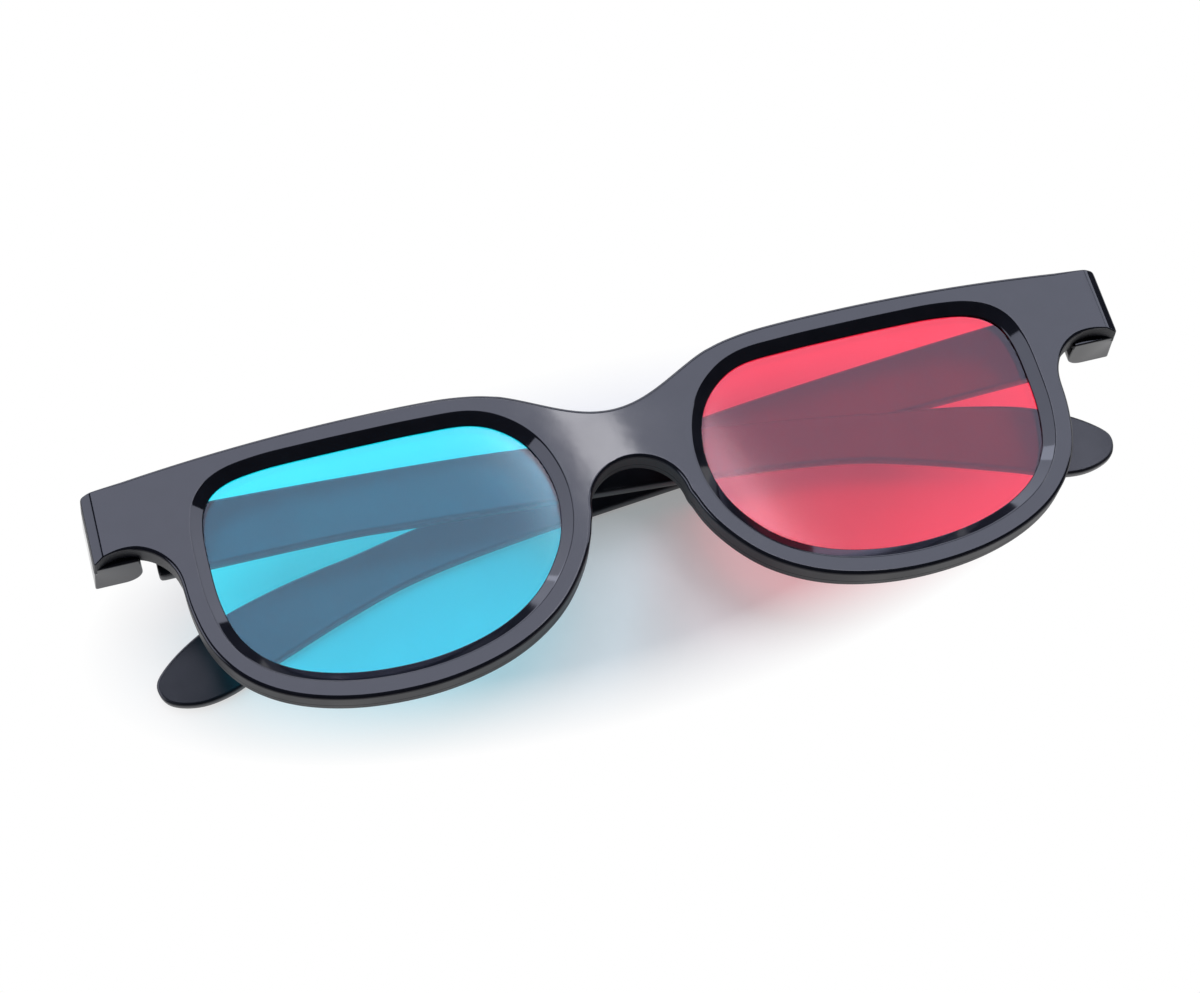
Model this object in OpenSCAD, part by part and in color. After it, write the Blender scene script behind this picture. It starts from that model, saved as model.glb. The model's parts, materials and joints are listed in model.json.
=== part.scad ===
// Red and cyan 3D glasses, folded and lying on a table with the lenses up.
// They are drawn upright, with the front face at z = 0, the wearer behind it at negative z,
// x = 0 in the middle of the bridge and y = 0 at the middle height of the hinges.
// The last step lays them down on the outer temple.

/* [Front] */
// Width of the front from end to end
front_w = 148; // [142:1:160]
// Width of the lens that shows
lens_w = 48.2; // [44:0.1:49]
// Height of the lens that shows
lens_h = 32.8; // [30:0.1:36]
// Gap between the two lenses at the bridge
bridge_w = 21.6; // [18:0.1:23]
// Distance of the lens centre below the hinge line
lens_drop = 13; // [12:0.1:14]
// Width of the rim around the lens that shows
rim_w = 4.15; // [3.4:0.05:4.5]
// Thickness of the back frame that holds the lenses in
back_t = 1.4; // [1:0.1:1.8]
// Width of the sloping edge around each lens
bezel_w = 1.55; // [1:0.05:1.9]
// Depth of the sloping edge around each lens
bezel_depth = 1.2; // [0.8:0.1:1.4]
// Thickness of the lip that the lens rests against
lip_t = 0.3; // [0.2:0.05:0.5]

/* [Bridge and ends] */
// Height of the bridge's top edge above the hinge line
bridge_top = 0; // [-1:0.1:1]
// Height of the bridge above the nose
bridge_h = 7.9; // [6.5:0.1:9]
// Radius of the arch over the nose
arch_r = 6.9; // [6.5:0.1:7.3]
// Distance from the middle at which the brow reaches its full height
brow_reach = 20.5; // [18:0.5:23]
// Step from the brow over the bridge up to the rim's top
brow_dip = 0.65; // [0.4:0.05:0.8]
// Height of the front's outer corners above the hinge line
end_top = 4.75; // [4.7:0.05:5.5]
// Radius of the curve under each end of the front
end_arc_r = 7; // [6.6:0.1:7.4]
// Depth of the ends' underside below the hinge line
end_low = 4.5; // [4.4:0.05:4.8]
// Width of the bevel at the front's ends
end_bevel_w = 1.4; // [0.8:0.1:1.8]
// Depth of the bevel at the front's ends
end_bevel_depth = 0.8; // [0.6:0.1:1.4]

/* [Lenses] */
// Thickness of each lens
lens_t = 1; // [0.6:0.05:1.2]
// Width of the lens edge hidden behind the lip
lens_edge = 1.1; // [0.6:0.1:1.4]
// Width of the lens edge that the back frame laps over
back_lap = 0.5; // [0.3:0.05:0.6]
// Gap around the edge of each lens
lens_gap = 0.15; // [0.05:0.05:0.3]
// Gap between each lens and the back frame
lens_back_gap = 0.1; // [0:0.05:0.2]

/* [Hinges] */
// Diameter of each hinge pin
pin_d = 1.5; // [1:0.1:1.8]
// Distance of the pin from the end of the front
pin_inset = 3.4; // [3.4:0.05:3.6]
// Depth of the pin behind the front face
pin_depth = 6.5; // [6.2:0.1:7.2]
// Radius of the ears that hold the pin
ear_r = 2.7; // [2.4:0.05:2.8]
// Height of each hinge block above the hinge line
ear_up = 4.4; // [4:0.05:4.6]
// Depth of each hinge block below the hinge line
ear_down = 5.4; // [4.4:0.05:5.5]
// Plastic left under the pin's blind end
pin_floor = 0.8; // [0.5:0.1:1.2]
// Thickness of the wall that closes the hinge slot from outside
slot_wall = 1; // [0.6:0.05:1]
// Radius of the temple's tongue around the pin
tongue_r = 2.1; // [1.6:0.05:2.1]
// Height of the temple's tongue
tongue_h = 4.2; // [3.6:0.1:4.6]
// Gap between the tongue and the ears, above and below
tongue_gap = 0.3; // [0.2:0.05:0.4]
// Radial clearance of the tongue on its pin
pin_clear = 0.05; // [0.02:0.01:0.09]
// Radial clearance of the pin in the ears
pin_seat = 0.01; // [0:0.01:0.02]

/* [Temples] */
// Length of each temple from the pin to the tip
temple_len = 140.8; // [138:0.1:142]
// Thickness of each temple at the hinge
temple_t = 2.2; // [1.8:0.1:2.4]
// Thickness of each temple at the tip
tip_t = 1.6; // [1.2:0.1:1.8]
// Height of the temple's top edge above the hinge line, at the hinge
temple_top = 3.4; // [3:0.1:4.4]
// Depth of the temple's lower edge below the hinge line, at the hinge
temple_low = 6.3; // [5.8:0.1:6.4]
// Drop of the hooked tip's lowest point below the hinge line
hook_drop = 22.6; // [21:0.1:24]
// Distance of the temple's shoulder from the pin
shoulder = 4.6; // [4.2:0.1:5.2]
// Length of the neck inside the temple, past its shoulder
neck_reach = 3; // [2:0.1:4]
// Step from the tongue's back to the neck's
neck_step = 0.5; // [0.3:0.05:0.7]
// Distance of the temple's inner face behind the pin
temple_set = 1; // [0.9:0.05:1.2]
// Gap between the two folded temples where they cross
temple_gap = 0.35; // [0.3:0.05:0.8]

/* [Hidden] */
$fn = 48;
steps = 3;
eps = 0.02;
// How far a cut runs past what it cuts
cut_over = 1;
// Gap between the back frame and the ends of the front
part_gap = 0.1;
// How far each hinge block reaches into the end of the front
ear_root = 1.3;
lens_x = bridge_w / 2 + lens_w / 2;
lens_depth = bezel_depth + lip_t;
front_t = lens_depth + lens_t + lens_back_gap;
frame_t = front_t + back_t;
rim_end = lens_x + lens_w / 2 + rim_w;
rim_top = lens_h / 2 + rim_w - lens_drop;
rim_bottom = -lens_h / 2 - rim_w - lens_drop;
pin_x = front_w / 2 - pin_inset;
lug_depth = pin_depth + ear_r;
slot_half = tongue_h / 2 + tongue_gap;
slot_front = pin_depth - tongue_r - tongue_gap;
neck_back = tongue_r - neck_step;
temple_back = temple_set + temple_t;
taper = atan((temple_t - tip_t) / temple_len);
// Where the folded temples stop lying over each other, from the outer temple's pin, as a share
cross_share = 0.225;
// Share of the inner temple's taper that is used up at that place
taper_share = 0.78;
cross_at = cross_share * temple_len;
fold = atan((temple_t - taper_share * (temple_t - tip_t) + temple_gap) / cross_at);
tilt = fold - taper;
shift_x = (lug_depth + end_bevel_depth) * sin(tilt) / 2;
shift_y = -(rim_top + rim_bottom) / 2;
shift_z = temple_back * cos(taper) + pin_x * sin(tilt) + pin_depth * cos(tilt);

// Outline of the lens as shares of its half width and half height, nose side positive
lens_form = [
    [0, 1], [0.34, 0.993], [0.62, 0.962], [0.8, 0.83], [0.93, 0.6], [0.995, 0.28],
    [0.985, -0.05], [0.9, -0.36], [0.72, -0.668], [0.45, -0.885], [0.1, -0.992],
    [-0.27, -0.98], [-0.58, -0.87], [-0.8, -0.685], [-0.93, -0.43], [-0.987, -0.12],
    [-1, 0.22], [-0.99, 0.57], [-0.935, 0.8], [-0.81, 0.93], [-0.6, 0.985], [-0.32, 0.998]
];

// Top edge of the temple: share of its length, then its place from top (0) to hook (1)
temple_upper = [
    [0.08, 0], [0.215, 0.036], [0.386, 0.1], [0.572, 0.215], [0.715, 0.325], [0.78, 0.386],
    [0.823, 0.42], [0.871, 0.469], [0.923, 0.545], [0.964, 0.652], [0.991, 0.762]
];

// Tip and hooked lower edge of the temple, measured the same way
temple_lower = [
    [1, 0.845], [0.991, 0.95], [0.962, 1], [0.928, 0.977], [0.89, 0.895], [0.8, 0.725],
    [0.722, 0.612], [0.608, 0.533], [0.43, 0.46]
];

// Rest of the lower edge back to the hinge: share of the length, then depth below that edge
temple_under = [[0.29, 0.9], [0.215, 0.2], [0.08, 0]];

// Point on a smooth curve from b to c, where a and d are the neighbours
function curve(a, b, c, d, t) = 0.5 * (2 * b + (c - a) * t + (2 * a - 5 * b + 4 * c - d) * t * t
    + (3 * b - a - 3 * c + d) * t * t * t);

// Smooth closed loop through the points
function smooth_loop(p) = [
    for (i = [0 : len(p) - 1], k = [0 : steps - 1])
        curve(p[(i + len(p) - 1) % len(p)], p[i], p[(i + 1) % len(p)], p[(i + 2) % len(p)], k / steps)
];

// Smooth open line through the points
function smooth_line(p) = concat([
    for (i = [0 : len(p) - 2], k = [0 : steps - 1])
        curve(p[max(i - 1, 0)], p[i], p[i + 1], p[min(i + 2, len(p) - 1)], k / steps)
], [p[len(p) - 1]]);

// The loop moved outward by a distance, square to its edge
function grow(p, by) = [
    for (i = [0 : len(p) - 1])
        let (along = p[(i + 1) % len(p)] - p[(i + len(p) - 1) % len(p)])
        p[i] + by * [-along[1], along[0]] / norm(along)
];

lens_edge_loop = smooth_loop([for (q = lens_form) [q[0] * lens_w / 2, q[1] * lens_h / 2]]);
temple_span = temple_top + hook_drop;
function on_temple(q) = [q[0] * temple_len, temple_top - q[1] * temple_span];
temple_line = concat(
    [[shoulder, -temple_low], [shoulder, temple_top]],
    smooth_line([for (q = concat(temple_upper, temple_lower)) on_temple(q)]),
    smooth_line(concat(
        [on_temple(temple_lower[len(temple_lower) - 1])],
        [for (q = temple_under) [q[0] * temple_len, -temple_low - q[1]]]
    ))
);

// Height of the brow's top edge over the bridge
function brow(x) = bridge_top + (rim_top - brow_dip - bridge_top) * (1 - cos(180 * x / brow_reach)) / 2;

// Height of the top edge from the lens centre out to the end
function brow_end(x) = rim_top - (rim_top - end_top) * pow((x - lens_x) / (front_w / 2 - lens_x), 2);

// Both sides: the viewer's left one as drawn, and its mirror
module both() {
    children();
    mirror([1, 0, 0]) children();
}

// Flat shape around one lens, grown outward from the edge that shows
module lens_shape(by) {
    translate([-lens_x, -lens_drop]) polygon(grow(lens_edge_loop, by));
}

// Flat shape of one end of the front, with the curve under it
module end_shape() {
    difference() {
        polygon(concat(
            [for (i = [0 : 8]) let (x = lens_x + (front_w / 2 - lens_x) * i / 8) [-x, brow_end(x)]],
            [[-front_w / 2, -end_low - end_arc_r], [-lens_x, -end_low - end_arc_r]]
        ));
        translate([-rim_end - end_arc_r, -end_low - end_arc_r]) circle(r = end_arc_r);
        translate([-front_w, -end_low - 2 * end_arc_r])
            square([front_w - rim_end - 2 * end_arc_r + cut_over, end_arc_r]);
    }
}

// Flat shape of the bridge between the rims
module bridge_shape() {
    difference() {
        polygon(concat(
            [for (i = [-10 : 10]) [brow_reach * i / 10, brow(brow_reach * i / 10)]],
            [[brow_reach, -lens_drop / 2], [bridge_w / 2, bridge_top - bridge_h - arch_r],
            [-bridge_w / 2, bridge_top - bridge_h - arch_r], [-brow_reach, -lens_drop / 2]]
        ));
        translate([0, bridge_top - bridge_h - arch_r]) circle(r = arch_r);
    }
}

// Plate with its front at the given depth
module plate(depth, thick) {
    translate([0, 0, -depth - thick]) linear_extrude(thick) children();
}

// The two rims and the bridge between them
module rims(depth, thick) {
    both() plate(depth, thick) lens_shape(rim_w);
    plate(depth, thick) bridge_shape();
}

// Rod along y at the hinge pin, between two heights
module pin_rod(r, low, high) {
    translate([-pin_x, low, -pin_depth]) rotate([-90, 0, 0]) cylinder(r = r, h = high - low);
}

// One hinge block behind the end of the front, before its slot is cut
module ear_block() {
    root = frame_t - ear_root;
    translate([0, ear_up, 0]) rotate([90, 0, 0]) linear_extrude(ear_up + ear_down) union() {
        translate([-front_w / 2, -lug_depth]) square([pin_inset, lug_depth - root]);
        translate([-pin_x, -pin_depth]) square([ear_r, pin_depth - root]);
        translate([-pin_x, -pin_depth]) circle(r = ear_r);
    }
}

// Slot for the temple's tongue
module hinge_slot() {
    translate([-front_w / 2 + slot_wall, -slot_half, -lug_depth - cut_over])
        cube([pin_inset + ear_r, 2 * slot_half, lug_depth + cut_over - slot_front]);
}

// Sloping window in front of one lens, its lip and the pocket behind it
module lens_window() {
    translate([-lens_x, -lens_drop, -bezel_depth]) linear_extrude(
        height = bezel_depth + eps,
        slices = 1,
        segments = 0,
        scale = [(lens_w + 2 * bezel_w) / lens_w, (lens_h + 2 * bezel_w) / lens_h]
    ) polygon(lens_edge_loop);
    plate(bezel_depth - eps, frame_t) lens_shape(0);
    plate(lens_depth, frame_t) lens_shape(lens_edge + lens_gap);
}

// Bevel cut at one end of the front
module end_bevel() {
    translate([-front_w / 2, 0, -end_bevel_depth])
        rotate([0, -atan(end_bevel_depth / end_bevel_w), 0])
        translate([-2 * end_bevel_w, -front_w / 4, 0])
        cube([6 * end_bevel_w, front_w / 2, 4 * end_bevel_depth]);
}

// Front shell with the bezels, the ends and the hinge ears
module front_frame() {
    color([0.1, 0.1, 0.11]) lay_down() difference() {
        union() {
            rims(0, front_t);
            both() plate(0, frame_t) difference() {
                end_shape();
                lens_shape(rim_w + part_gap);
            }
            both() plate(0, front_t) end_shape();
            both() ear_block();
        }
        both() {
            lens_window();
            hinge_slot();
            end_bevel();
            pin_rod(pin_d / 2 + pin_seat, -ear_down + pin_floor, end_top + cut_over);
        }
    }
}

// Back frame that closes the lens pockets
module back_frame() {
    color([0.12, 0.12, 0.13]) lay_down() difference() {
        rims(front_t, back_t);
        both() plate(0, 2 * frame_t) lens_shape(lens_edge - back_lap);
    }
}

// One lens, for the viewer's left side
module lens() {
    plate(lens_depth, lens_t) lens_shape(lens_edge);
}

// Lens on the viewer's left
module cyan_lens() {
    color([0.1, 0.75, 0.9, 0.6]) lay_down() lens();
}

// Lens on the viewer's right
module red_lens() {
    color([0.9, 0.15, 0.25, 0.6]) lay_down() mirror([1, 0, 0]) lens();
}

// One temple with its pin at the origin, folded square towards +x
module temple() {
    difference() {
        union() {
            translate([0, 0, -temple_back]) linear_extrude(temple_t) polygon(temple_line);
            translate([0, tongue_h / 2, 0]) rotate([90, 0, 0]) cylinder(r = tongue_r, h = tongue_h);
            translate([0, -tongue_h / 2, -neck_back]) cube([shoulder + neck_reach, tongue_h, neck_back]);
        }
        translate([0, tongue_h, 0]) rotate([90, 0, 0])
            cylinder(r = pin_d / 2 + pin_seat + pin_clear, h = 2 * tongue_h);
        translate([0, -temple_len / 2, -temple_back]) rotate([0, -taper, 0])
            translate([-temple_len, 0, -2 * temple_t]) cube([3 * temple_len, temple_len, 2 * temple_t]);
    }
}

// Temple hinged on the viewer's left, folded next to the lenses
module left_temple() {
    color([0.1, 0.1, 0.11]) lay_down() translate([-pin_x, 0, -pin_depth]) temple();
}

// Temple hinged on the viewer's right, folded over the other one
module right_temple() {
    color([0.1, 0.1, 0.11]) lay_down() translate([pin_x, 0, -pin_depth])
        rotate([0, -fold, 0]) mirror([1, 0, 0]) temple();
}

// Steel pin of the viewer's left hinge
module left_hinge_pin() {
    color([0.7, 0.7, 0.72]) lay_down() pin_rod(pin_d / 2, -ear_down + pin_floor, ear_up);
}

// Steel pin of the viewer's right hinge
module right_hinge_pin() {
    color([0.7, 0.7, 0.72]) lay_down() mirror([1, 0, 0])
        pin_rod(pin_d / 2, -ear_down + pin_floor, ear_up);
}

// Lays the upright glasses down, so that the outer temple is flat on the table
module lay_down() {
    translate([shift_x, shift_y, shift_z]) rotate([0, tilt, 0]) children();
}

front_frame();
back_frame();
cyan_lens();
red_lens();
left_temple();
right_temple();
left_hinge_pin();
right_hinge_pin();
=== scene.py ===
import bpy
import json
import math
from mathutils import Matrix, Quaternion, Vector


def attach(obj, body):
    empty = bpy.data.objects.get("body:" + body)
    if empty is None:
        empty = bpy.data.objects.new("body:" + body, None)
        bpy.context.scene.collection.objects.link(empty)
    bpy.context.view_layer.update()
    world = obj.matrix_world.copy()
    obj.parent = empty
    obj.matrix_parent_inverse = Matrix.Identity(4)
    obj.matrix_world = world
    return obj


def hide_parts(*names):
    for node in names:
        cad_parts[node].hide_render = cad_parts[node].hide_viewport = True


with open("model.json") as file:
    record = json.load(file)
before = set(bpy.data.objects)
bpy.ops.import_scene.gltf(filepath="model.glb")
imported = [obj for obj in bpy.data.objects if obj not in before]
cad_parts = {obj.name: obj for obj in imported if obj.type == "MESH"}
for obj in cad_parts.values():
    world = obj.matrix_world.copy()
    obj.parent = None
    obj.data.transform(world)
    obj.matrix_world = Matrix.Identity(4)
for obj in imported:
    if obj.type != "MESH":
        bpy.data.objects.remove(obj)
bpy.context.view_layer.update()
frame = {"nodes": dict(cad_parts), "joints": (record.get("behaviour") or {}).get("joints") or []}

# Sizes of the glasses, the same as those of the solids
mm = 0.001
front_w = 148 * mm
lens_w = 48.2 * mm
lens_h = 32.8 * mm
bridge_w = 21.6 * mm
lens_drop = 13 * mm
rim_w = 4.15 * mm
back_t = 1.4 * mm
bezel_w = 1.55 * mm
bezel_depth = 1.2 * mm
lip_t = 0.3 * mm
bridge_top = 0 * mm
bridge_h = 7.9 * mm
arch_r = 6.9 * mm
brow_reach = 20.5 * mm
brow_dip = 0.65 * mm
end_top = 4.75 * mm
end_arc_r = 7 * mm
end_low = 4.5 * mm
end_bevel_w = 1.4 * mm
end_bevel_depth = 0.8 * mm
lens_t = 1 * mm
lens_edge = 1.1 * mm
back_lap = 0.5 * mm
lens_gap = 0.15 * mm
lens_back_gap = 0.1 * mm
pin_d = 1.5 * mm
pin_inset = 3.4 * mm
pin_depth = 6.5 * mm
ear_r = 2.7 * mm
ear_up = 4.4 * mm
ear_down = 5.4 * mm
ear_root = 1.3 * mm
pin_floor = 0.8 * mm
slot_wall = 1 * mm
tongue_r = 2.1 * mm
tongue_h = 4.2 * mm
tongue_gap = 0.3 * mm
pin_clear = 0.05 * mm
pin_seat = 0.01 * mm
neck_thin = 0.5 * mm
neck_reach = 3 * mm
temple_len = 140.8 * mm
temple_t = 2.2 * mm
tip_t = 1.6 * mm
temple_top = 3.4 * mm
temple_low = 6.3 * mm
hook_drop = 22.6 * mm
shoulder = 4.6 * mm
temple_set = 1 * mm

# Finish of the edges, which the plain solids leave sharp
face_round = 0.5 * mm
end_round = 0.2 * mm
end_ease = 6 * mm
brow_ease = 5 * mm
back_round = 0.25 * mm
back_chamfer = 0.5 * mm
bezel_round = 0.1 * mm
part_round = 0.12 * mm
arm_round = 0.45 * mm
lug_round = 0.2 * mm
crease_round = 0.25 * mm
end_flare = 0.8 * mm
cyan_dome = 0.2 * mm
red_dome = 0.36 * mm
flat_margin = 0.05 * mm
part_gap = 0.1 * mm
seam = 0.02 * mm
wall_lean = 0.5
smooth_angle = math.radians(32)

# How finely curved edges are drawn
outline_step = 0.4 * mm
lug_step = 0.25 * mm
curve_steps = 8
top_edge_steps = 20
end_arc_steps = 24
arch_steps = 16
ear_steps = 12
top_round_steps = 5
bottom_round_steps = 4
arm_round_steps = 4
lug_round_steps = 3
rod_sides = 48
outline_passes = 2
brow_passes = 40
crease_cuts = (-1, -0.4, 0.2, 1)

# Places worked out from the sizes
lens_x = bridge_w / 2 + lens_w / 2
lens_depth = bezel_depth + lip_t
front_t = lens_depth + lens_t + lens_back_gap
frame_t = front_t + back_t
rim_end = lens_x + lens_w / 2 + rim_w
rim_top = lens_h / 2 + rim_w - lens_drop
arch_y = bridge_top - bridge_h - arch_r
arc_y = -end_low - end_arc_r
pin_x = front_w / 2 - pin_inset
lug_depth = pin_depth + ear_r
slot_front = pin_depth - tongue_r - tongue_gap
taper = math.atan((temple_t - tip_t) / temple_len)

# How the upright glasses lie on the table, from the places of the two hinge pins
pins = {joint["name"]: Vector(joint["pos_m"]) for joint in frame["joints"]}
left_pin = pins["left_temple_hinge"]
right_pin = pins["right_temple_hinge"]
across = right_pin - left_pin
tilt = math.atan2(-across.z, across.x)
fold = tilt + taper
lay_down = (
    Matrix.Translation((left_pin + right_pin) / 2)
    @ Matrix.Rotation(tilt, 4, "Y")
    @ Matrix.Translation((0, 0, pin_depth))
)

# Outline of the lens as shares of its half width and half height, clockwise, nose side positive
lens_form = [
    (0, 1), (0.34, 0.993), (0.62, 0.962), (0.8, 0.83), (0.93, 0.6), (0.995, 0.28),
    (0.985, -0.05), (0.9, -0.36), (0.72, -0.668), (0.45, -0.885), (0.1, -0.992),
    (-0.27, -0.98), (-0.58, -0.87), (-0.8, -0.685), (-0.93, -0.43), (-0.987, -0.12),
    (-1, 0.22), (-0.99, 0.57), (-0.935, 0.8), (-0.81, 0.93), (-0.6, 0.985), (-0.32, 0.998),
]

# Edge of the temple from the hinge along the top to the tip and back: share of its length,
# then its place from its top (0) to the hook's lowest point (1)
temple_form = [
    (0.08, 0), (0.215, 0.036), (0.386, 0.1), (0.572, 0.215), (0.715, 0.325), (0.78, 0.386),
    (0.823, 0.42), (0.871, 0.469), (0.923, 0.545), (0.964, 0.652), (0.991, 0.762),
    (1, 0.845), (0.991, 0.95), (0.962, 1), (0.928, 0.977), (0.89, 0.895), (0.8, 0.725),
    (0.722, 0.612), (0.608, 0.533), (0.43, 0.46),
]

# Lower edge of the temple from its middle back to the hinge: share of its length, then how far it sags
temple_sag = [(0.29, 0.9 * mm), (0.215, 0.2 * mm), (0.08, 0)]


# Outlines

def on_curve(a, b, c, d, t):
    """Point on a smooth curve from b to c, where a and d are the neighbours."""
    return 0.5 * (2 * b + (c - a) * t + (2 * a - 5 * b + 4 * c - d) * t**2
                  + (3 * b - a - 3 * c + d) * t**3)


def smooth_loop(points, steps):
    """Smooth closed loop through the points."""
    n = len(points)
    return [
        on_curve(points[i - 1], points[i], points[(i + 1) % n], points[(i + 2) % n], k / steps)
        for i in range(n) for k in range(steps)
    ]


def smooth_line(points, steps):
    """Smooth open line through the points."""
    last = len(points) - 1
    line = [
        on_curve(points[max(i - 1, 0)], points[i], points[i + 1], points[min(i + 2, last)], k / steps)
        for i in range(last) for k in range(steps)
    ]
    return line + [points[last]]


def grow(loop, by):
    """The counterclockwise loop moved outward by a distance, square to its edge."""
    grown = []
    for i, point in enumerate(loop):
        along = loop[(i + 1) % len(loop)] - loop[i - 1]
        grown.append(point + by * Vector((along.y, -along.x)).normalized())
    return grown


def even(points, step):
    """The closed line through the points in steps of equal length."""
    ring = points + points[:1]
    reach = [0]
    for a, b in zip(ring, ring[1:]):
        reach.append(reach[-1] + (b - a).length)
    count = round(reach[-1] / step)
    spaced = []
    k = 0
    for i in range(count):
        at = reach[-1] * i / count
        while reach[k + 1] <= at:
            k += 1
        spaced.append(ring[k].lerp(ring[k + 1], (at - reach[k]) / (reach[k + 1] - reach[k])))
    return spaced


def soften(loop, passes):
    """The loop with its corners rounded a little."""
    for _ in range(passes):
        loop = [(loop[i - 1] + 2 * loop[i] + loop[(i + 1) % len(loop)]) / 4 for i in range(len(loop))]
    return loop


def ease_brow(loop):
    """The front's edge with a smooth run from the bridge's top onto the rims."""
    eased = soften(loop, brow_passes)
    start = brow_reach - brow_ease
    stop = brow_reach + brow_ease
    return [q if p.y > 0 and start < abs(p.x) < stop else p for p, q in zip(loop, eased)]


def mirrored(loop):
    """The loop on the other side of the bridge, still counterclockwise."""
    return [Vector((-p.x, p.y)) for p in reversed(loop)]


def lens_loop():
    """Edge of the lens that shows on the viewer's left, counterclockwise from its top."""
    form = lens_form[:1] + lens_form[:0:-1]
    centre = Vector((-lens_x, -lens_drop))
    points = [centre + Vector((u * lens_w / 2, v * lens_h / 2)) for u, v in form]
    return smooth_loop(points, curve_steps)


def brow(x):
    """Height of the brow's top edge over the bridge."""
    rise = rim_top - brow_dip - bridge_top
    return bridge_top + rise * (1 - math.cos(math.pi * x / brow_reach)) / 2


def brow_end(x):
    """Height of the top edge from the lens centre out to the end."""
    return rim_top - (rim_top - end_top) * ((x - lens_x) / (front_w / 2 - lens_x)) ** 2


def arc(centre_x, centre_y, radius, start, stop, count):
    """Points along a round stretch, with its angles in degrees."""
    turns = [math.radians(start + (stop - start) * i / count) for i in range(count + 1)]
    return [Vector((centre_x + radius * math.cos(a), centre_y + radius * math.sin(a))) for a in turns]


def end_edge():
    """Edge of the front's end on the viewer's left, from above the lens to the rim."""
    wide = front_w / 2 - lens_x
    top = [lens_x + wide * i / top_edge_steps for i in range(1, top_edge_steps + 1)]
    start = math.degrees(math.acos((rim_end + end_arc_r - front_w / 2) / end_arc_r))
    under = arc(-rim_end - end_arc_r, arc_y, end_arc_r, start, 0, end_arc_steps)
    return [Vector((-x, brow_end(x))) for x in top] + under


def front_outline(with_ends):
    """Edge of the whole front, counterclockwise from the middle of the bridge's top."""
    rim = grow(lens_loop(), rim_w)
    over_bridge = [brow_reach * i / top_edge_steps for i in range(top_edge_steps + 1)]
    half = [Vector((-x, brow(x))) for x in over_bridge]
    half += [p for p in rim if p.y > 0 and outline_step < p.x + lens_x < lens_x - brow_reach - outline_step]
    left_rim_top = arc_y if with_ends else rim_top
    half += end_edge() if with_ends else []
    nose_end = arch_y - outline_step
    half += [p for p in rim if p.y < left_rim_top - seam and (p.x < -lens_x or p.y < nose_end)]
    half += arc(0, arch_y, arch_r, 180, 90, arch_steps)
    whole = even(half + mirrored(half[1:-1]), outline_step)
    return soften(ease_brow(whole), outline_passes)


def temple_outline():
    """Edge of one temple with its pin at the origin, counterclockwise."""
    span = temple_top + hook_drop
    edge = [Vector((u * temple_len, temple_top - v * span)) for u, v in temple_form]
    line = smooth_line(edge, curve_steps)
    sag = [Vector((u * temple_len, -temple_low - down)) for u, down in temple_sag]
    low_line = smooth_line([line[-1]] + sag, curve_steps)
    corners = [Vector((shoulder, -temple_low)), Vector((shoulder, temple_top))]
    loop = corners + line + low_line[1:]
    return soften(even(loop[::-1], outline_step), outline_passes)


def at_depth(loop, by, depth):
    """The loop moved outward by a distance and set behind the front face."""
    return [Vector((p.x, p.y, -depth)) for p in grow(loop, by)]


def round_over(radius, count):
    """Steps round an edge: how far in from the wall, and how far below the face."""
    turns = [math.pi / 2 * i / count for i in range(count + 1)]
    return [(radius * (1 - math.sin(a)), radius * (1 - math.cos(a))) for a in turns]


# Modelling steps

def deselect_all():
    bpy.ops.object.select_all(action="DESELECT")


def choose(piece):
    """Makes the piece the only selected one."""
    deselect_all()
    piece.select_set(True)
    bpy.context.view_layer.objects.active = piece


def edit(piece):
    """Opens the piece for editing, with nothing else selected."""
    choose(piece)
    bpy.ops.object.mode_set(mode="EDIT")


def leave_edit():
    bpy.ops.object.mode_set(mode="OBJECT")


def select_open_edges():
    bpy.ops.mesh.select_all(action="DESELECT")
    bpy.ops.mesh.select_non_manifold(
        use_wire=False, use_boundary=True, use_multi_face=False, use_non_contiguous=False, use_verts=False)


def skin(name, rings, capped=False):
    """Tube through the rings: a circle is extruded ring by ring, then each ring goes to its points."""
    deselect_all()
    count = len(rings[0])
    bpy.ops.mesh.primitive_circle_add(vertices=count, radius=1)
    piece = bpy.context.object
    piece.name = name
    edit(piece)
    bpy.ops.mesh.select_all(action="SELECT")
    for _ in rings[1:]:
        bpy.ops.mesh.extrude_region_move(TRANSFORM_OT_translate={"value": (0, 0, 1)})
    if capped:
        bpy.ops.mesh.edge_face_add()
        select_open_edges()
        bpy.ops.mesh.edge_face_add()
    leave_edit()
    for vertex in piece.data.vertices:
        turn = math.atan2(vertex.co.x, vertex.co.y) / (2 * math.pi)
        vertex.co = rings[round(vertex.co.z)][round(turn * count) % count]
    return piece


def joined(pieces):
    """The pieces as one object, under the first one's name."""
    deselect_all()
    for piece in pieces:
        piece.select_set(True)
    bpy.context.view_layer.objects.active = pieces[0]
    bpy.ops.object.join()
    return pieces[0]


def fill_face(piece, depth):
    """Flat face between the open edges that lie at one depth behind the front face."""
    edit(piece)
    bpy.ops.mesh.select_mode(type="EDGE")
    select_open_edges()
    leave_edit()
    mesh = piece.data
    for edge in mesh.edges:
        there = all(abs(mesh.vertices[i].co.z + depth) < seam / 2 for i in edge.vertices)
        edge.select = edge.select and there
    edit(piece)
    bpy.ops.mesh.fill(use_beauty=True)
    leave_edit()


def face_outward(piece):
    """All faces of the closed piece point outward."""
    edit(piece)
    bpy.ops.mesh.select_all(action="SELECT")
    bpy.ops.mesh.normals_make_consistent(inside=False)
    leave_edit()


def cut_across(piece, x):
    """Edges all round the piece where the upright plane at x meets it."""
    edit(piece)
    bpy.ops.mesh.select_all(action="SELECT")
    bpy.ops.mesh.bisect(plane_co=(x, 0, 0), plane_no=(1, 0, 0))
    leave_edit()


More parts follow.
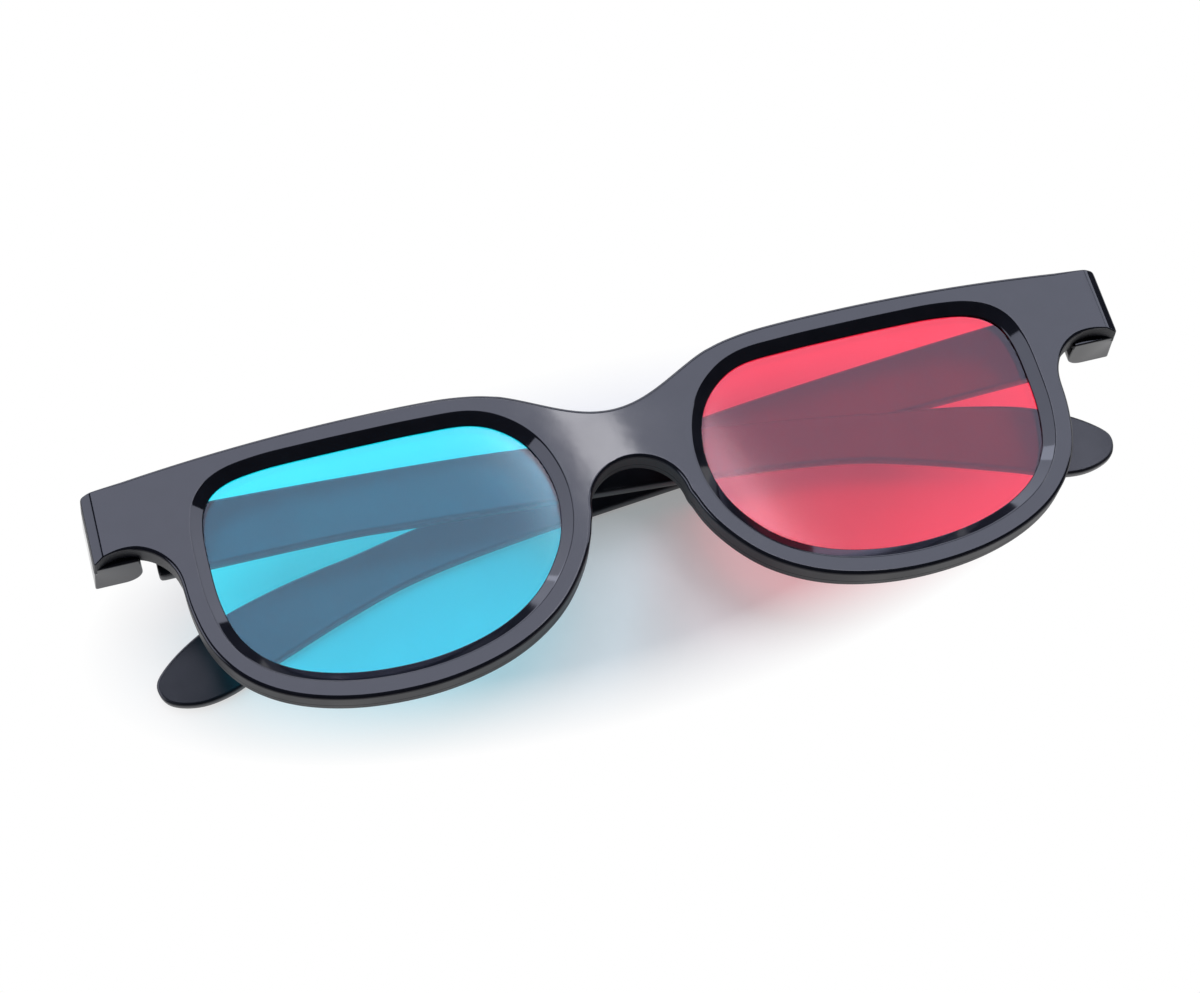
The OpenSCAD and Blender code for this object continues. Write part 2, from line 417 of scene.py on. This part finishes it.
def combine(piece, other, operation):
    """Unites the piece with another one, or cuts it away, and removes the other one."""
    change = piece.modifiers.new("combine", "BOOLEAN")
    change.operation = operation
    change.solver = "EXACT"
    change.object = other
    choose(piece)
    bpy.ops.object.modifier_apply(modifier=change.name)
    bpy.data.objects.remove(other)


def block(name, low, high, rounding=0):
    """Box between two corners, with its edges rounded over."""
    deselect_all()
    low, high = Vector(low), Vector(high)
    bpy.ops.mesh.primitive_cube_add(size=1, location=(low + high) / 2, scale=high - low)
    piece = bpy.context.object
    piece.name = name
    bpy.ops.object.transform_apply(location=True, rotation=True, scale=True)
    if rounding:
        edit(piece)
        bpy.ops.mesh.select_all(action="SELECT")
        bpy.ops.mesh.bevel(offset=rounding, segments=lug_round_steps, affect="EDGES")
        leave_edit()
    return piece


def rod(name, x, z, radius, low, high, rounding=0):
    """Round bar along y between two heights, with its ends rounded over."""
    deselect_all()
    bpy.ops.mesh.primitive_cylinder_add(
        vertices=rod_sides, radius=radius, depth=high - low,
        location=(x, (low + high) / 2, z), rotation=(math.pi / 2, 0, 0))
    piece = bpy.context.object
    piece.name = name
    bpy.ops.object.transform_apply(location=True, rotation=True, scale=True)
    if rounding:
        edit(piece)
        bpy.ops.mesh.select_all(action="DESELECT")
        leave_edit()
        for edge in piece.data.edges:
            a, b = (piece.data.vertices[i].co.y for i in edge.vertices)
            edge.select = abs(a - b) < seam
        edit(piece)
        bpy.ops.mesh.bevel(offset=rounding, segments=lug_round_steps, affect="EDGES")
        leave_edit()
    return piece


def finish_piece(piece, name, place, body, node, material):
    """Puts the piece in its place on the table, ties it to its body and hides the solid it stands for."""
    piece.data.transform(place)
    piece.name = name
    piece.data.name = name
    face_outward(piece)
    choose(piece)
    bpy.ops.object.shade_smooth_by_angle(angle=smooth_angle)
    piece.data.materials.clear()
    piece.data.materials.append(material)
    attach(piece, body)
    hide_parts(node)


# Materials

def new_material(name):
    material = bpy.data.materials.new(name)
    material.use_nodes = True
    return material, material.node_tree.nodes, material.node_tree.links


def noise(nodes, links, place, scale, detail):
    """Cloudy pattern in the piece's own space, with its scale in features per metre."""
    texture = nodes.new("ShaderNodeTexNoise")
    texture.inputs["Scale"].default_value = scale
    texture.inputs["Detail"].default_value = detail
    links.new(place, texture.inputs["Vector"])
    return texture.outputs["Fac"]


# Where the dark and the light parts of a cloudy pattern end
pattern_dark = 0.3
pattern_light = 0.7


def between_colours(nodes, links, pattern, dark, light):
    """Colours of a pattern, from its dark to its light parts."""
    ramp = nodes.new("ShaderNodeValToRGB")
    ramp.color_ramp.elements[0].position = pattern_dark
    ramp.color_ramp.elements[0].color = (*dark, 1)
    ramp.color_ramp.elements[1].position = pattern_light
    ramp.color_ramp.elements[1].color = (*light, 1)
    links.new(pattern, ramp.inputs["Fac"])
    return ramp.outputs["Color"]


def between_values(nodes, links, pattern, low, high):
    """Values of a pattern, from its dark to its light parts."""
    change = nodes.new("ShaderNodeMapRange")
    change.inputs["From Min"].default_value = pattern_dark
    change.inputs["From Max"].default_value = pattern_light
    change.inputs["To Min"].default_value = low
    change.inputs["To Max"].default_value = high
    links.new(pattern, change.inputs["Value"])
    return change.outputs["Result"]


def bumps(nodes, links, pattern, height):
    """Surface relief of a pattern, with its height in metres."""
    relief = nodes.new("ShaderNodeBump")
    relief.inputs["Strength"].default_value = 1
    relief.inputs["Distance"].default_value = height
    links.new(pattern, relief.inputs["Height"])
    return relief.outputs["Normal"]


def black_plastic(name, sharpest, dullest, shine=0.5):
    """Glossy black moulding with faint mottling, handling smudges and a slight ripple."""
    material, nodes, links = new_material(name)
    shader = nodes["Principled BSDF"]
    place = nodes.new("ShaderNodeTexCoord").outputs["Object"]
    mottle = noise(nodes, links, place, scale=400, detail=3)
    colour = between_colours(
        nodes, links, mottle, dark=(0.0045, 0.005, 0.0085), light=(0.008, 0.0085, 0.013))
    links.new(colour, shader.inputs["Base Color"])
    smudges = noise(nodes, links, place, scale=120, detail=4)
    links.new(between_values(nodes, links, smudges, sharpest, dullest), shader.inputs["Roughness"])
    ripple = noise(nodes, links, place, scale=450, detail=1)
    links.new(bumps(nodes, links, ripple, height=0.002 * mm), shader.inputs["Normal"])
    shader.inputs["IOR"].default_value = 1.52
    shader.inputs["Specular IOR Level"].default_value = shine
    shader.inputs["Specular Tint"].default_value = (0.93, 0.93, 1, 1)
    return material


def tinted_film(name, pale, deep):
    """Clear coloured sheet: each of its two faces takes its share of the tint and mirrors a little."""
    material, nodes, links = new_material(name)
    nodes.remove(nodes["Principled BSDF"])
    place = nodes.new("ShaderNodeTexCoord").outputs["Object"]
    clear = nodes.new("ShaderNodeBsdfTransparent")
    density = noise(nodes, links, place, scale=60, detail=2)
    links.new(between_colours(nodes, links, density, deep, pale), clear.inputs["Color"])
    gloss = nodes.new("ShaderNodeBsdfGlossy")
    gloss.inputs["Color"].default_value = (0.85, 0.83, 1, 1)
    smudges = noise(nodes, links, place, scale=150, detail=4)
    links.new(between_values(nodes, links, smudges, low=0.085, high=0.12), gloss.inputs["Roughness"])
    mirror = nodes.new("ShaderNodeFresnel")
    mirror.inputs["IOR"].default_value = 1.47
    side = nodes.new("ShaderNodeNewGeometry")
    share = nodes.new("ShaderNodeMix")
    share.inputs["B"].default_value = 0.036
    links.new(side.outputs["Backfacing"], share.inputs["Factor"])
    links.new(mirror.outputs["Fac"], share.inputs["A"])
    both = nodes.new("ShaderNodeMixShader")
    links.new(share.outputs["Result"], both.inputs["Fac"])
    links.new(clear.outputs["BSDF"], both.inputs[1])
    links.new(gloss.outputs["BSDF"], both.inputs[2])
    links.new(both.outputs["Shader"], nodes["Material Output"].inputs["Surface"])
    return material


def drawn_steel():
    """Steel wire with fine lines along its length."""
    material, nodes, links = new_material("drawn_steel")
    shader = nodes["Principled BSDF"]
    shader.inputs["Metallic"].default_value = 1
    place = nodes.new("ShaderNodeTexCoord").outputs["Object"]
    stretch = nodes.new("ShaderNodeMapping")
    stretch.inputs["Scale"].default_value = (1, 0.05, 1)
    links.new(place, stretch.inputs["Vector"])
    lines = noise(nodes, links, stretch.outputs["Vector"], scale=9000, detail=2)
    colour = between_colours(nodes, links, lines, dark=(0.42, 0.42, 0.44), light=(0.62, 0.62, 0.63))
    links.new(colour, shader.inputs["Base Color"])
    links.new(between_values(nodes, links, lines, low=0.25, high=0.42), shader.inputs["Roughness"])
    return material


def pale_floor():
    """White table top: what the camera and mirrors see of it glows plain white away from the glasses. This
    painted light washes out the glasses' shadows there and lets only part of them show close by.
    """
    material, nodes, links = new_material("pale_floor")
    nodes.remove(nodes["Principled BSDF"])
    place = nodes.new("ShaderNodeTexCoord").outputs["Object"]
    paper = nodes.new("ShaderNodeBsdfDiffuse")
    grain = noise(nodes, links, place, scale=300, detail=2)
    colour = between_colours(nodes, links, grain, dark=(0.9, 0.885, 0.865), light=(0.92, 0.905, 0.885))
    links.new(colour, paper.inputs["Color"])
    white = nodes.new("ShaderNodeEmission")
    white.inputs["Strength"].default_value = 1
    squeeze = nodes.new("ShaderNodeMapping")
    squeeze.inputs["Location"].default_value = (0.008, 0, 0)
    squeeze.inputs["Scale"].default_value = (1, 2.6, 1)
    links.new(place, squeeze.inputs["Vector"])
    length = nodes.new("ShaderNodeVectorMath")
    length.operation = "LENGTH"
    links.new(squeeze.outputs["Vector"], length.inputs[0])
    # Painted light: the white glow grows from an oval round the glasses outward and hides their shadows
    # there
    painted_light_fade = nodes.new("ShaderNodeMapRange")
    painted_light_fade.inputs["From Min"].default_value = 0.045
    painted_light_fade.inputs["From Max"].default_value = 0.072
    painted_light_fade.inputs["To Min"].default_value = 0.3
    painted_light_fade.inputs["To Max"].default_value = 1
    links.new(length.outputs["Value"], painted_light_fade.inputs["Value"])
    ray = nodes.new("ShaderNodeLightPath")
    mirrored_or_clear = nodes.new("ShaderNodeMath")
    mirrored_or_clear.operation = "MAXIMUM"
    links.new(ray.outputs["Is Glossy Ray"], mirrored_or_clear.inputs[0])
    links.new(ray.outputs["Is Transmission Ray"], mirrored_or_clear.inputs[1])
    seen = nodes.new("ShaderNodeMath")
    seen.operation = "MAXIMUM"
    links.new(ray.outputs["Is Camera Ray"], seen.inputs[0])
    links.new(mirrored_or_clear.outputs["Value"], seen.inputs[1])
    share = nodes.new("ShaderNodeMath")
    share.operation = "MULTIPLY"
    links.new(seen.outputs["Value"], share.inputs[0])
    links.new(painted_light_fade.outputs["Result"], share.inputs[1])
    both = nodes.new("ShaderNodeMixShader")
    links.new(share.outputs["Value"], both.inputs["Fac"])
    links.new(paper.outputs["BSDF"], both.inputs[1])
    links.new(white.outputs["Emission"], both.inputs[2])
    links.new(both.outputs["Shader"], nodes["Material Output"].inputs["Surface"])
    return material


front_black = black_plastic("front_black", sharpest=0.035, dullest=0.075)
# Side walls: a rougher finish, plus a halved shine that paints shade on them
dull_shaded_side_black = black_plastic("dull_shaded_side_black", sharpest=0.4, dullest=0.5, shine=0.25)
temple_black = black_plastic("temple_black", sharpest=0.3, dullest=0.42)
cyan_film = tinted_film("cyan_film", pale=(0.09, 0.905, 0.98), deep=(0.07, 0.88, 0.97))
red_film = tinted_film("red_film", pale=(0.97, 0.16, 0.25), deep=(0.96, 0.13, 0.22))
pin_steel = drawn_steel()


# Front moulding: the plate with its bezels, then the lugs, the seat of the back frame and the slots

def eased_ring(outline, inward, face, down):
    """Ring on the rounded edge of a face. The rounding gets smaller towards the front's sharp ends."""
    ring = []
    for p, q in zip(outline, grow(outline, -inward)):
        free = (front_w / 2 - abs(p.x)) / end_ease
        share = min(1, max(end_round / face_round, free))
        spot = p.lerp(q, share)
        ring.append(Vector((spot.x, spot.y, -face - share * down)))
    return ring


def outer_skin(name, outline, top, bottom, top_round, bottom_round):
    """Wall round a plate, rounded over onto both faces."""
    over = round_over(top_round, top_round_steps)
    rings = [eased_ring(outline, top_round + flat_margin, top, 0)]
    rings += [eased_ring(outline, inward, top, down) for inward, down in over]
    rings.append(eased_ring(outline, 0, top, top_round + flat_margin))
    rings.append(eased_ring(outline, 0, bottom, -bottom_round - flat_margin))
    under = reversed(round_over(bottom_round, bottom_round_steps))
    rings += [eased_ring(outline, inward, bottom, -down) for inward, down in under]
    rings.append(eased_ring(outline, bottom_round + flat_margin, bottom, 0))
    return skin(name, rings)


def window_skin(name, loop):
    """Sloping bezel, the lip and the pocket of one lens: steps out from its edge and down from the face."""
    pocket = lens_edge + lens_gap
    near_edge = 0.05
    outer = Vector((bezel_w - 0.3 * bezel_round, 0.9 * bezel_round))
    inner = Vector((0.9 * bezel_round, bezel_depth - 0.6 * bezel_round))
    steps = [
        (bezel_w + 2 * bezel_round + flat_margin, 0),
        (bezel_w + 2 * bezel_round, 0),
        (bezel_w + 0.8 * bezel_round, 0.2 * bezel_round),
        outer,
        outer.lerp(inner, near_edge),
        outer.lerp(inner, 1 - near_edge),
        inner,
        (0.2 * bezel_round, bezel_depth + 0.2 * bezel_round),
        (0, bezel_depth + bezel_round),
        (0, lens_depth - 0.5 * bezel_round),
        (0.5 * bezel_round, lens_depth),
        (pocket - flat_margin, lens_depth),
        (pocket, lens_depth),
        (pocket, lens_depth + flat_margin),
        (pocket, frame_t - flat_margin),
        (pocket, frame_t),
        (pocket + flat_margin, frame_t),
    ]
    return skin(name, [at_depth(loop, by, depth) for by, depth in steps])


def end_drop(x):
    """How far the bevel at the front's ends lies below the front face."""
    slope = end_bevel_depth / end_bevel_w
    past = abs(x) - front_w / 2 + end_bevel_w
    if past < -crease_round:
        return 0
    if past > crease_round:
        return slope * past
    return slope * (past + crease_round) ** 2 / (4 * crease_round)


def bevel_ends(plate):
    """Slopes the ends of the front down to their outer edges."""
    crease = front_w / 2 - end_bevel_w
    for side in (-1, 1):
        for share in crease_cuts:
            cut_across(plate, side * (crease + share * crease_round))
    for vertex in plate.data.vertices:
        if vertex.co.z > -face_round - flat_margin - seam:
            vertex.co.z -= end_drop(vertex.co.x)


def flare_ends(plate):
    """Leans the outer walls of the ends outward, so that they are widest at the back."""
    for vertex in plate.data.vertices:
        depth = -vertex.co.z - end_bevel_depth
        past = abs(vertex.co.x) - pin_x
        if depth > 0 and past > 0:
            lean = end_flare * depth / (lug_depth - end_bevel_depth) * past / pin_inset
            vertex.co.x += math.copysign(lean, vertex.co.x)


def lug(name):
    """Hinge block behind the end on the viewer's left, before its slot is cut."""
    root = frame_t - ear_root
    side = -front_w / 2 + 2 * seam
    profile = [Vector((side, -root)), Vector((side, -lug_depth))]
    profile += arc(-pin_x, -pin_depth, ear_r, 270, 360, ear_steps)
    profile.append(Vector((-pin_x + ear_r, -root)))
    profile = soften(even(profile, lug_step), 1)
    rounding = [(lug_round + flat_margin, 0)] + round_over(lug_round, lug_round_steps)
    steps = [(inward, ear_up - down) for inward, down in rounding]
    steps += [(inward, down - ear_down) for inward, down in reversed(rounding)]
    rings = [[Vector((p.x, y, p.y)) for p in grow(profile, -inward)] for inward, y in steps]
    piece = skin(name, rings, True)
    face_outward(piece)
    return piece


def flip_side(piece):
    """Turns the piece into its mirror image on the other side of the bridge."""
    piece.data.transform(Matrix.Scale(-1, 4, (1, 0, 0)))
    face_outward(piece)
    return piece


def dull_and_shade_walls(piece):
    """Gives the walls round the front, between its two faces, their duller, rougher finish and a weaker
    reflection that paints shade on them.
    """
    upright = lay_down.inverted()
    piece.data.materials.append(dull_shaded_side_black)
    for face in piece.data.polygons:
        depth = -(upright @ face.center).z
        lean = abs((upright.to_3x3() @ face.normal).z)
        if face_round / 2 < depth < frame_t and lean < wall_lean:
            face.material_index = 1


def flat_cutter(name, loop, top, bottom):
    """Upright block with the loop as its outline, for cutting."""
    piece = skin(name, [at_depth(loop, 0, top), at_depth(loop, 0, bottom)], True)
    face_outward(piece)
    return piece


def make_front():
    left = lens_loop()
    plate = joined([
        outer_skin("front_moulding", front_outline(True), 0, frame_t, face_round, back_round),
        window_skin("left_window", left),
        window_skin("right_window", mirrored(left)),
    ])
    fill_face(plate, 0)
    fill_face(plate, frame_t)
    face_outward(plate)
    bevel_ends(plate)
    combine(plate, lug("left_lug"), "UNION")
    combine(plate, flip_side(lug("right_lug")), "UNION")
    flare_ends(plate)
    behind = 2 * lug_depth
    seat = grow(left, rim_w + part_gap)
    combine(plate, flat_cutter("left_seat", seat, front_t, behind), "DIFFERENCE")
    combine(plate, flat_cutter("right_seat", mirrored(seat), front_t, behind), "DIFFERENCE")
    middle = block("middle_seat", (-lens_x, -front_w / 2, -behind), (lens_x, front_w / 2, -front_t))
    combine(plate, middle, "DIFFERENCE")
    half_slot = tongue_h / 2 + tongue_gap
    for side in (-1, 1):
        edges = sorted([side * (front_w / 2 - slot_wall), side * (pin_x - 2 * ear_r)])
        slot = block("slot", (edges[0], -half_slot, -behind), (edges[1], half_slot, -slot_front))
        combine(plate, slot, "DIFFERENCE")
        hole = rod("hole", side * pin_x, -pin_depth, pin_d / 2 + pin_seat, -ear_down + pin_floor, 2 * ear_up)
        combine(plate, hole, "DIFFERENCE")
    finish_piece(plate, "front_moulding", lay_down, "front", "front_frame", front_black)
    dull_and_shade_walls(plate)


# Back moulding that closes the lens pockets

def make_back():
    left = lens_loop()
    top = front_t + seam
    inner = lens_edge - back_lap
    outer = inner + back_chamfer
    steps = [(inner + part_round + flat_margin, top), (inner + part_round, top), (inner, top + part_round)]
    mid = 0.3 * back_round
    steps += [(outer, frame_t - back_round), (outer + mid, frame_t - mid)]
    steps += [(outer + back_round, frame_t), (outer + back_round + flat_margin, frame_t)]
    plate = joined([
        outer_skin("back_moulding", front_outline(False), top, frame_t, part_round, back_round),
        skin("left_window", [at_depth(left, by, depth) for by, depth in steps]),
        skin("right_window", [at_depth(mirrored(left), by, depth) for by, depth in steps]),
    ])
    fill_face(plate, top)
    fill_face(plate, frame_t)
    finish_piece(plate, "back_moulding", lay_down, "front", "back_frame", front_black)
    dull_and_shade_walls(plate)


# Lenses: thin sheets with a slight dome

def make_lens(name, loop, dome, node, material):
    edge = grow(loop, lens_edge)
    centre = sum(edge, Vector((0, 0))) / len(edge)
    held = 0.955
    shares = [0.03, 0.1, 0.2, 0.3, 0.4, 0.5, 0.6, 0.7, 0.8, 0.88, 0.93, held, 0.985, 1]
    rings = []
    for down, order in ((seam, shares), (lens_t, shares[::-1])):
        for share in order:
            bulge = dome * max(0, 1 - (share / held) ** 2)
            flat = [centre + share * (p - centre) for p in edge]
            rings.append([Vector((p.x, p.y, bulge - lens_depth - down)) for p in flat])
    pane = skin(name, rings, True)
    finish_piece(pane, name, lay_down, "front", node, material)


# Temples: the arm, then its neck and the tongue on the pin

def make_temple(name, place, body, node):
    loop = temple_outline()

    def outside(x):
        return temple_set + temple_t - x * math.tan(taper)

    rounding = round_over(arm_round, arm_round_steps)
    rings = [at_depth(loop, -arm_round - flat_margin, temple_set)]
    rings += [at_depth(loop, -inward, temple_set + down) for inward, down in rounding]
    for inward, down in reversed(rounding):
        rings.append([Vector((p.x, p.y, down - outside(p.x))) for p in grow(loop, -inward)])
    rings.append([Vector((p.x, p.y, -outside(p.x))) for p in grow(loop, -arm_round - flat_margin)])
    arm = skin(name, rings, True)
    face_outward(arm)
    low = (0, -tongue_h / 2, neck_thin - tongue_r)
    high = (shoulder + neck_reach, tongue_h / 2, 0)
    combine(arm, block("neck", low, high, lug_round), "UNION")
    combine(arm, rod("tongue", 0, 0, tongue_r, -tongue_h / 2, tongue_h / 2, lug_round), "UNION")
    combine(arm, rod("bore", 0, 0, pin_d / 2 + pin_seat + pin_clear, -tongue_h, tongue_h), "DIFFERENCE")
    finish_piece(arm, name, place, body, node, temple_black)


make_front()
make_back()
make_lens("cyan_pane", lens_loop(), cyan_dome, "cyan_lens", cyan_film)
make_lens("red_pane", mirrored(lens_loop()), red_dome, "red_lens", red_film)
left_place = lay_down @ Matrix.Translation((-pin_x, 0, -pin_depth))
right_place = (
    lay_down
    @ Matrix.Translation((pin_x, 0, -pin_depth))
    @ Matrix.Rotation(-fold, 4, "Y")
    @ Matrix.Scale(-1, 4, (1, 0, 0))
)
make_temple("left_arm", left_place, "left_temple", "left_temple")
make_temple("right_arm", right_place, "right_temple", "right_temple")
for node in ("left_hinge_pin", "right_hinge_pin"):
    pin = frame["nodes"][node]
    pin.data.materials.clear()
    pin.data.materials.append(pin_steel)


# Floor, lamps and camera

floor_sides = 96
floor_radius = 4
floor_drop = 0.05 * mm
deselect_all()
bpy.ops.mesh.primitive_circle_add(
    vertices=floor_sides, radius=floor_radius, fill_type="NGON", location=(0, 0, -floor_drop))
floor = bpy.context.object
floor.name = "floor"
floor.data.materials.append(pale_floor())

# The camera stands over the near side of the glasses, a little to the viewer's left
look_at = Vector((-4.3, 3, 8)) * mm
camera_turn = math.radians(15.6)
camera_height = math.radians(66.98)
camera_distance = 353.3 * mm
flat_reach = math.cos(camera_height)
away = Vector((
    -math.sin(camera_turn) * flat_reach,
    -math.cos(camera_turn) * flat_reach,
    math.sin(camera_height),
))
camera_place = look_at + camera_distance * away
bpy.ops.object.camera_add(location=camera_place)
camera = bpy.context.object
camera.rotation_euler = away.to_track_quat("Z", "Y").to_euler()
camera.data.sensor_width = 36
camera.data.lens = 75.7
camera.data.clip_start = 0.01
camera.data.clip_end = 20
bpy.context.scene.camera = camera
bpy.context.scene.view_settings.view_transform = "Standard"


def mirrored_way(x, y):
    """Direction in which the photo's viewpoint is mirrored by the front face at one of its points."""
    spot = lay_down @ Vector((x, y, 0))
    view = (camera_place - spot).normalized()
    face = lay_down.to_3x3() @ Vector((0, 0, 1))
    return 2 * face.dot(view) * face - view


def softbox(name, towards, distance, width, height, brightness, colour, spin=0):
    """Soft rectangular lamp that faces the glasses. Its brightness is that of its face."""
    way = Vector(towards).normalized()
    bpy.ops.object.light_add(type="AREA", location=look_at + distance * way)
    lamp = bpy.context.object
    lamp.name = name
    turn = way.to_track_quat("Z", "Y") @ Quaternion((0, 0, 1), math.radians(spin))
    lamp.rotation_euler = turn.to_euler()
    lamp.data.shape = "RECTANGLE"
    lamp.data.size = width
    lamp.data.size_y = height
    lamp.data.energy = brightness * math.pi * width * height
    lamp.data.color = colour


cool = (0.82, 0.86, 1)
warm = (1, 0.98, 0.94)
bridge_glint = (-3.1 * mm, -4 * mm)
softbox("overhead_softbox", mirrored_way(0, -lens_drop), distance=1.2,
        width=1.05, height=0.55, brightness=3.2, colour=cool)
softbox("bridge_strip", mirrored_way(*bridge_glint), distance=1.15,
        width=0.03, height=0.9, brightness=7.5, colour=warm, spin=45)
softbox("left_softbox", (-0.783, 0.416, 0.462), distance=1.1,
        width=1.55, height=0.78, brightness=2.7, colour=cool)
softbox("right_softbox", (0.8, 0.37, 0.47), distance=1.1,
        width=0.74, height=0.72, brightness=2.8, colour=cool, spin=-25)
softbox("back_strip", (0.03, 0.93, 0.36), distance=1.2,
        width=1.4, height=0.65, brightness=3, colour=cool)

world = bpy.context.scene.world or bpy.data.worlds.new("studio")
bpy.context.scene.world = world
world.use_nodes = True
sky = world.node_tree.nodes["Background"]
sky.inputs["Color"].default_value = (0.9, 0.95, 1, 1)
sky.inputs["Strength"].default_value = 0.06
